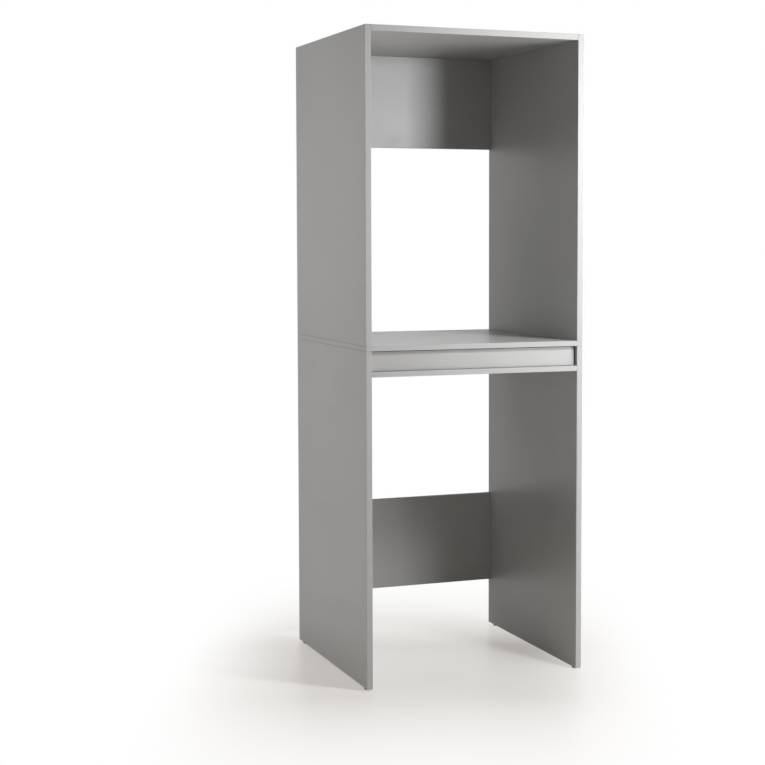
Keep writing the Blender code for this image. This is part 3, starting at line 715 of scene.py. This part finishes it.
FLOOR_HALF = 14.0
FLOOR_SEGMENTS = 8
FLOOR_DIFFUSE = (0.825, 0.755, 0.690)
FLOOR_SEEN = (1.0, 0.985, 0.970)
FLOOR_ROUGHNESS = 0.32
FLOOR_NOISE = (90.0, 3.0, 0.5)
FLOOR_GRAIN_SHADE = 0.995
FLOOR_BUMP = (0.0001, 0.1)

# Floor: the share of the bright veil over it under the cabinet, and the veil's colour there
FLOOR_VEIL = 0.358
FLOOR_VEIL_COLOUR = (1.0, 0.956, 0.906)

# Floor: the oval in which it is seen, fixed on the floor. Outside it the veil is all white.
OVAL_TURN = -0.385
OVAL_ACROSS = {"centre": -0.059, "start": 0.307, "end": 0.775}
OVAL_ALONG = {"centre": -0.203, "start": 0.315, "end": 1.800}
OVAL_POWER = 3.0


def oval_share(shader, direction, oval, curve="LINEAR"):
    """One near the oval's middle line and none past its end, measured along a direction."""
    reach = shader.vector_math("DOT_PRODUCT", shader.place, direction, "Value")
    offset = shader.math("ABSOLUTE", shader.math("SUBTRACT", reach, oval["centre"]))
    return shader.fall(offset, oval["start"], oval["end"], curve)


def floor_tone(shader):
    """One under the cabinet, falling to none where the floor turns into the white backdrop."""
    cosine = math.cos(OVAL_TURN)
    sine = math.sin(OVAL_TURN)
    across = oval_share(shader, (cosine, sine, 0.0), OVAL_ACROSS, "SMOOTHSTEP")
    along = oval_share(shader, (-sine, cosine, 0.0), OVAL_ALONG)
    return shader.math("MULTIPLY", across, shader.math("POWER", along, OVAL_POWER))


def floor_material():
    """Pale floor that keeps the cabinet's shadow, under a veil for rays that show it as background."""
    shader = Shader("studio_floor")
    seen = shader.background_rays()
    grain = shader.noise(*FLOOR_NOISE)
    pale = shader.mix(grain, FLOOR_SEEN, shaded(FLOOR_SEEN, FLOOR_GRAIN_SHADE))
    colour = shader.mix(seen, FLOOR_DIFFUSE, pale)
    shader.finish(colour, FLOOR_ROUGHNESS, shader.bump(grain, *FLOOR_BUMP))
    tone = floor_tone(shader)
    veil = shader.add("ShaderNodeEmission")
    shader.link(shader.mix(tone, WHITE, FLOOR_VEIL_COLOUR), veil.inputs["Color"])
    veil_share = shader.math("SUBTRACT", 1.0, shader.math("MULTIPLY", tone, 1.0 - FLOOR_VEIL))
    share = shader.math("MULTIPLY", veil_share, seen)
    mixed = shader.mix_shaders(share, shader.surface.outputs[0], veil.outputs[0])
    shader.link(mixed, shader.tree.nodes["Material Output"].inputs["Surface"])
    return shader.material


def add_floor():
    body = bmesh.new()
    bmesh.ops.create_grid(body, x_segments=FLOOR_SEGMENTS, y_segments=FLOOR_SEGMENTS, size=FLOOR_HALF)
    floor = object_from("floor", body)
    floor.data.materials.append(floor_material())


# World: the strength of its light, and of the white that it shows as background

AMBIENT = 0.0
BACKDROP = 1.0


def add_world():
    """A world that shows white as background and otherwise gives the ambient light."""
    world = bpy.data.worlds.new("studio")
    world.use_nodes = True
    bpy.context.scene.world = world
    builder = TreeBuilder(world.node_tree)
    ambient = builder.tree.nodes["Background"]
    backdrop = builder.add("ShaderNodeBackground")
    for node, strength in ((ambient, AMBIENT), (backdrop, BACKDROP)):
        builder.feed(node.inputs["Color"], WHITE)
        builder.feed(node.inputs["Strength"], strength)
    seen = builder.background_rays()
    mixed = builder.mix_shaders(seen, ambient.outputs[0], backdrop.outputs[0])
    builder.link(mixed, builder.tree.nodes["World Output"].inputs["Surface"])


# Lamps: square soft boxes. Azimuth 0 is in front of the cabinet and grows towards its right, in degrees.

COOL_TINT = (0.992, 0.999, 1.012)
WARM_TINT = (1.035, 1.0, 0.945)
LAMPS = {
    "key": {
        "azimuth": 26.6, "height": 1.90, "away": 1.50,
        "size": 0.21, "watts": 13.6, "tint": COOL_TINT,
    },
    "key_low": {
        "azimuth": 27.4, "height": 1.70, "away": 1.51,
        "size": 0.20, "watts": 5.9, "tint": COOL_TINT,
    },
    "low_fill": {
        "azimuth": 40.0, "height": 0.60, "away": 2.50,
        "size": 1.20, "watts": 35.3, "tint": COOL_TINT,
    },
    "left_fill": {
        "azimuth": -90.0, "height": 1.25, "away": 1.60,
        "size": 1.60, "watts": 8.8, "tint": WHITE,
    },
    "rear_fill": {
        "azimuth": -115.0, "height": 1.40, "away": 3.00,
        "size": 1.20, "watts": 6.6, "tint": WARM_TINT,
    },
    "back_fill": {
        "azimuth": 172.0, "height": 2.40, "away": 2.40,
        "size": 1.20, "watts": 3.6, "tint": WHITE,
    },
    "top_fill": {
        "azimuth": 0.0, "height": 2.75, "away": 0.0,
        "size": 0.60, "watts": 5.0, "tint": WHITE,
    },
}
LAMP_TARGET = Vector((0.0, 0.0, 1.0))


def add_lamp(name, azimuth, height, away, size, watts, tint):
    """A soft box at a height and a distance from the cabinet's middle line, turned to the target."""
    lamp = bpy.data.lights.new(name, "AREA")
    lamp.shape = "SQUARE"
    lamp.size = size
    lamp.energy = watts
    lamp.color = tint
    holder = bpy.data.objects.new(name, lamp)
    bpy.context.scene.collection.objects.link(holder)
    turn = math.radians(azimuth)
    holder.location = (math.sin(turn) * away, -math.cos(turn) * away, height)
    holder.rotation_mode = "QUATERNION"
    holder.rotation_quaternion = (holder.location - LAMP_TARGET).to_track_quat("Z", "Y")
    holder.visible_camera = False


def add_camera():
    lens = bpy.data.cameras.new("camera")
    lens.lens = CAMERA_LENS
    lens.sensor_width = CAMERA_SENSOR
    lens.shift_x, lens.shift_y = CAMERA_SHIFT
    camera = bpy.data.objects.new("camera", lens)
    bpy.context.scene.collection.objects.link(camera)
    camera.location = CAMERA_PLACE
    camera.rotation_euler = (math.pi / 2 + CAMERA_PITCH, 0.0, CAMERA_YAW)
    bpy.context.scene.camera = camera


def main():
    screw_finish = dress_nodes()
    add_small_screws(screw_finish)
    add_floor()
    add_world()
    for name, lamp in LAMPS.items():
        add_lamp(name, **lamp)
    add_camera()
    bpy.context.scene.view_settings.view_transform = "Standard"


main()
